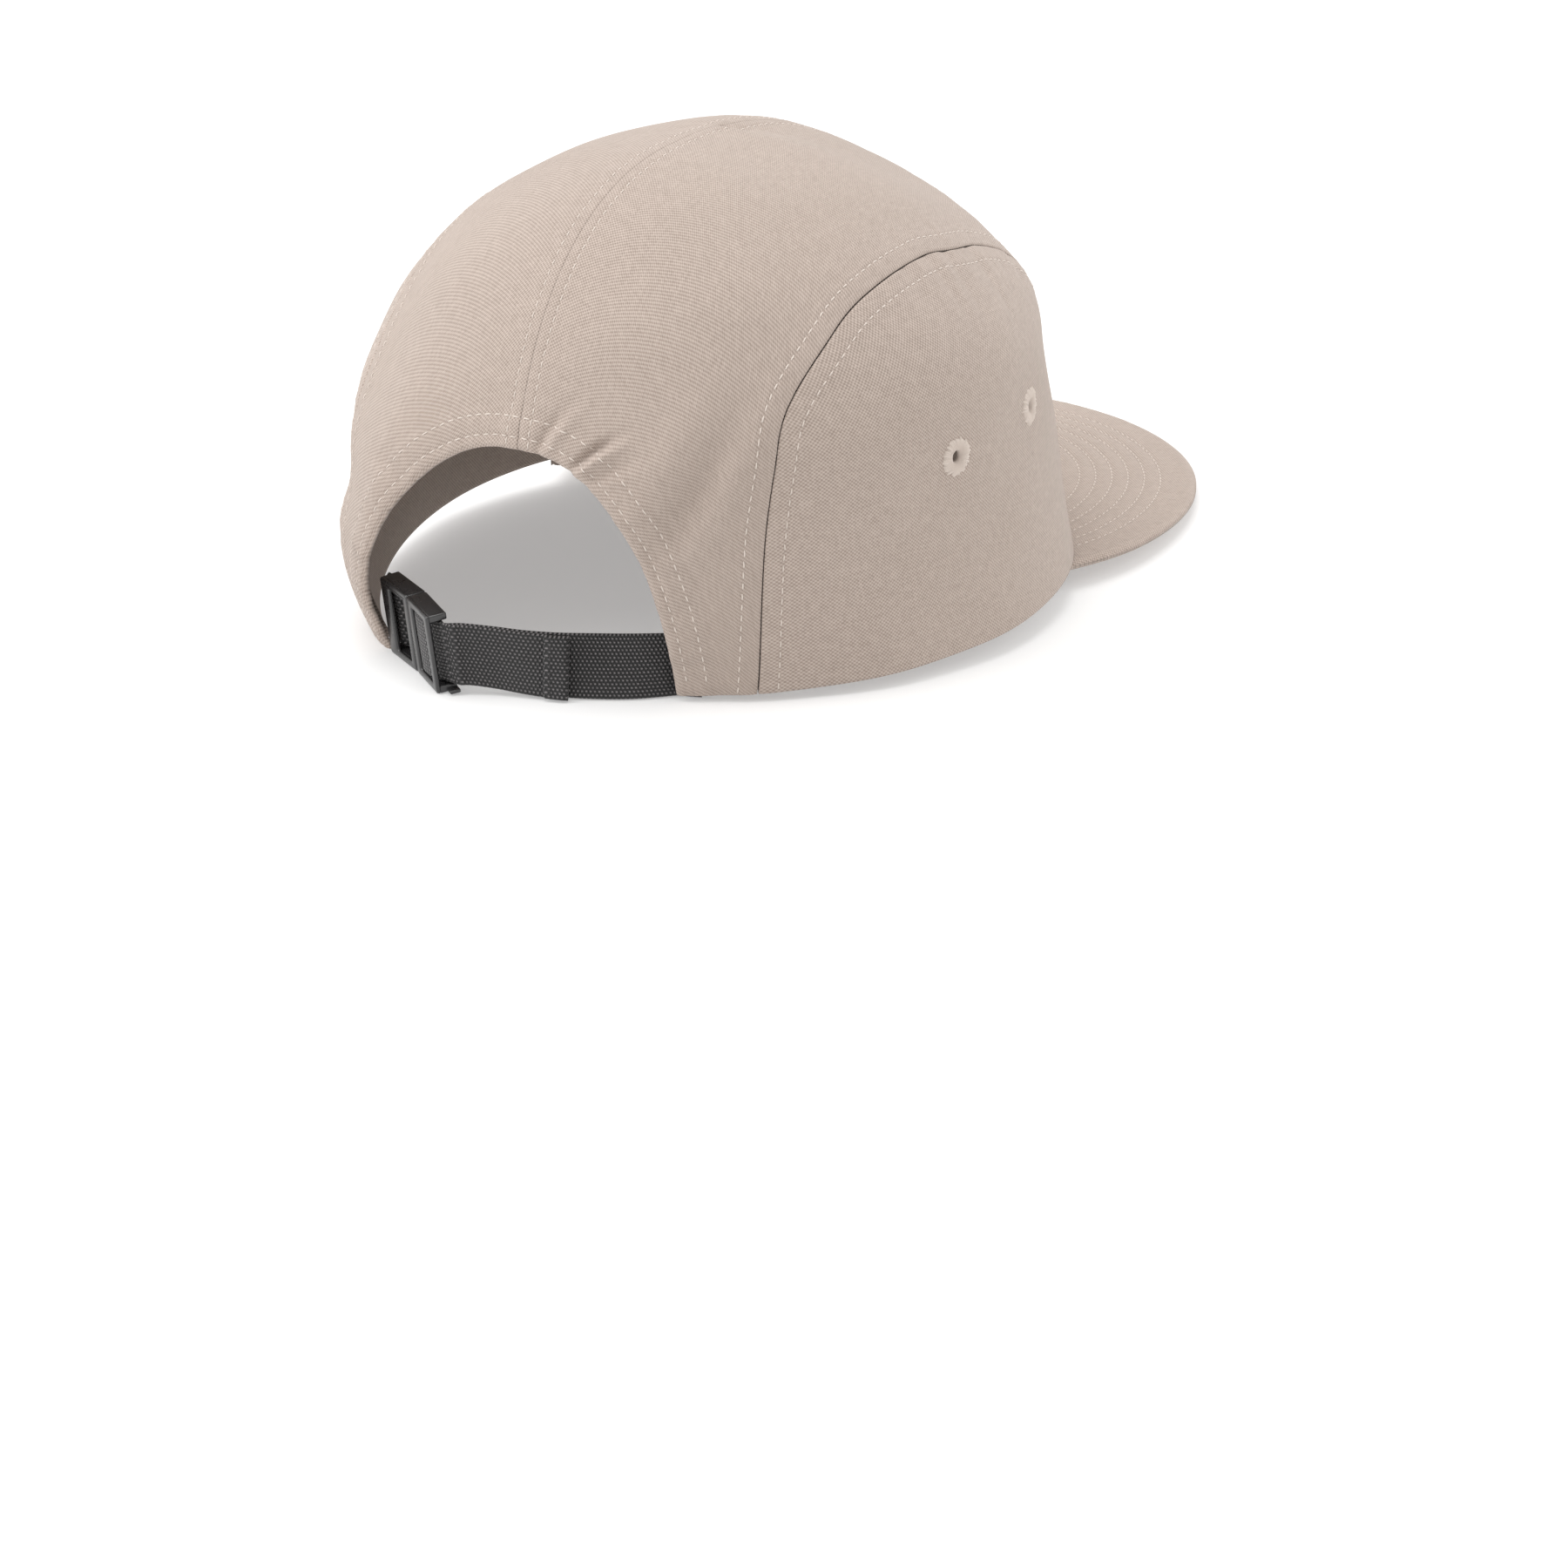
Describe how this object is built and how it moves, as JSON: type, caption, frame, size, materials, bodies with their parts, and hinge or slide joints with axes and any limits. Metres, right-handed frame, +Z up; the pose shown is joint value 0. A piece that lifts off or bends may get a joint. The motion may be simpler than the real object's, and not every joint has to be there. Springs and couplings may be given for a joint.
{
  "type": "five panel cap",
  "caption": "Low-profile canvas cap with a flat stitched peak, stitched eyelets, an arched back opening and a webbing strap with a plastic side-release buckle.",
  "frame": {"origin": "under the middle of the cap's bounding box, on the ground it stands on", "axes": "+X towards the wearer's left, -Y towards the front of the peak, +Z up"},
  "size_m": [0.1762, 0.2778, 0.1213],
  "materials": {
    "canvas": "plain weave cotton canvas, matte, stone brown",
    "eyelet_thread": "buttonhole stitch in a lighter thread",
    "webbing": "ribbed black webbing with a slight sheen",
    "buckle_plastic": "satin black moulded plastic"
  },
  "bodies": {
    "root": {"front_panel": "canvas", "side_panel_right": "canvas", "side_panel_left": "canvas", "back_panel_right": "canvas", "back_panel_left": "canvas", "sweatband": "canvas", "peak": "canvas", "eyelet_right_front": "eyelet_thread", "eyelet_right_rear": "eyelet_thread", "eyelet_left_front": "eyelet_thread", "eyelet_left_rear": "eyelet_thread", "strap": "webbing", "strap_tab": "webbing", "buckle_frame": "buckle_plastic", "buckle_catch": "buckle_plastic"}
  },
  "joints": []
}
